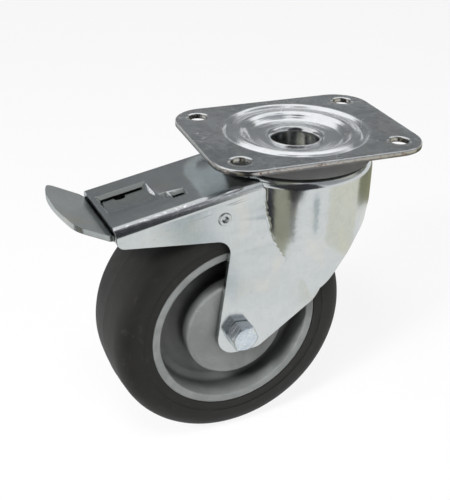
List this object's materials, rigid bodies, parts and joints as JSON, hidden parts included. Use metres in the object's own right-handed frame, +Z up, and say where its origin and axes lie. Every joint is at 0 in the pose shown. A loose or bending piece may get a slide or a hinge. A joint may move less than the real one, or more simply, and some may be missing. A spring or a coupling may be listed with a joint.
{
  "type": "swivel castor",
  "caption": "Swivel castor with a bolt-on top plate, a pressed sheet fork, a rubber-tyred wheel and a pedal that locks wheel and swivel together.",
  "frame": {"origin": "middle of the plate's mounting face, on the swivel axis", "axes": "+Z up out of the mounting face, X along the plate's long side with the fork trailing towards -X at rest, Y along the short side"},
  "size_m": [0.1753, 0.085, 0.155],
  "materials": {
    "plate_zinc": "zinc plated, mottled, satin",
    "fork_zinc": "bright zinc plated, pale blue",
    "lever_zinc": "zinc plated, satin",
    "bearing_steel": "hardened steel",
    "bolt_zinc": "bright zinc plated",
    "seal_plastic": "matte dark grey",
    "wheel_plastic": "moulded grey, slightly glossy",
    "cap_plastic": "moulded grey, slightly glossy",
    "tyre_rubber": "moulded rubber, matte",
    "shoe_rubber": "moulded rubber"
  },
  "bodies": {
    "plate": {"top_plate": "plate_zinc", "king_rivet": "plate_zinc", "race_spacer": "bearing_steel", "lock_ring": "bearing_steel", "dust_seal": "seal_plastic", "upper_balls": "bearing_steel", "lower_balls": "bearing_steel"},
    "fork": {"fork": "fork_zinc", "pivot_rivets": "bolt_zinc", "axle_bolt": "bolt_zinc", "axle_nut": "bolt_zinc", "axle_sleeve": "bearing_steel", "leg_washers": "bearing_steel", "bearing_inner_rings": "bearing_steel", "bearing_spacer": "bearing_steel"},
    "brake_lever": {"brake_lever": "lever_zinc", "brake_shoe": "shoe_rubber", "shoe_rivets": "lever_zinc", "detent_spring": "bearing_steel", "spring_rivet": "lever_zinc"},
    "wheel": {"wheel_centre": "wheel_plastic", "tyre": "tyre_rubber", "hub_cap_near": "cap_plastic", "hub_cap_far": "cap_plastic", "bearing_outer_rings": "bearing_steel", "bearing_balls": "bearing_steel"}
  },
  "joints": [
    {"name": "swivel", "type": "hinge", "parent": "plate", "child": "fork", "pos_m": [0, 0, 0], "axis": [0, 0, 1], "continuous": true},
    {"name": "wheel_spin", "type": "hinge", "parent": "fork", "child": "wheel", "pos_m": [-0.03988, -0.00314, -0.0925], "axis": [-0.0785, 0.9969, 0], "continuous": true},
    {"name": "brake_pedal", "type": "hinge", "parent": "fork", "child": "brake_lever", "pos_m": [-0.04855, -0.00382, -0.0283], "axis": [0.0785, -0.9969, 0], "range_deg": [0, 10]}
  ]
}
